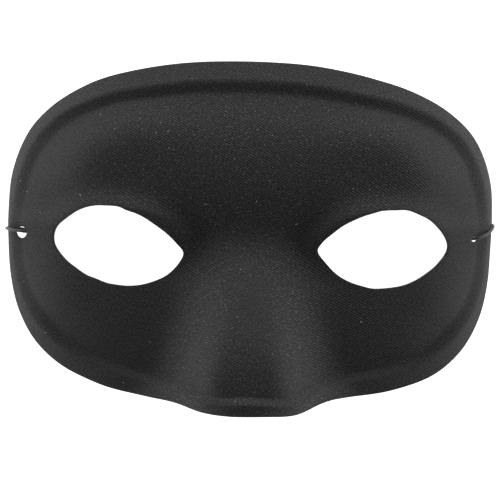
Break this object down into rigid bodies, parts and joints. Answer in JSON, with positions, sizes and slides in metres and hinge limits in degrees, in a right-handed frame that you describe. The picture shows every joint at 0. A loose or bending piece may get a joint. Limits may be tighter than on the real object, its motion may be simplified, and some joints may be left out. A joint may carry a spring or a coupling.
{
  "type": "domino half mask",
  "caption": "Half mask for the upper face, moulded with a nose and raised rim band, with eye holes and an elastic head cord.",
  "frame": {"origin": "bottom centre of the shell's bounding box, on the table that the mask lies on face up", "axes": "+X to the right of someone who looks at the face, +Y to the forehead, +Z out of the face"},
  "size_m": [0.1786, 0.1296, 0.0571],
  "materials": {
    "cloth": "black fine twill cloth glued on a moulded shell, soft sheen",
    "lining": "plain black lining behind, matt",
    "elastic": "black covered round elastic"
  },
  "bodies": {
    "root": {"mask_shell": "cloth", "elastic_cord": "elastic", "elastic_knot_left": "elastic", "elastic_knot_right": "elastic"}
  },
  "joints": []
}
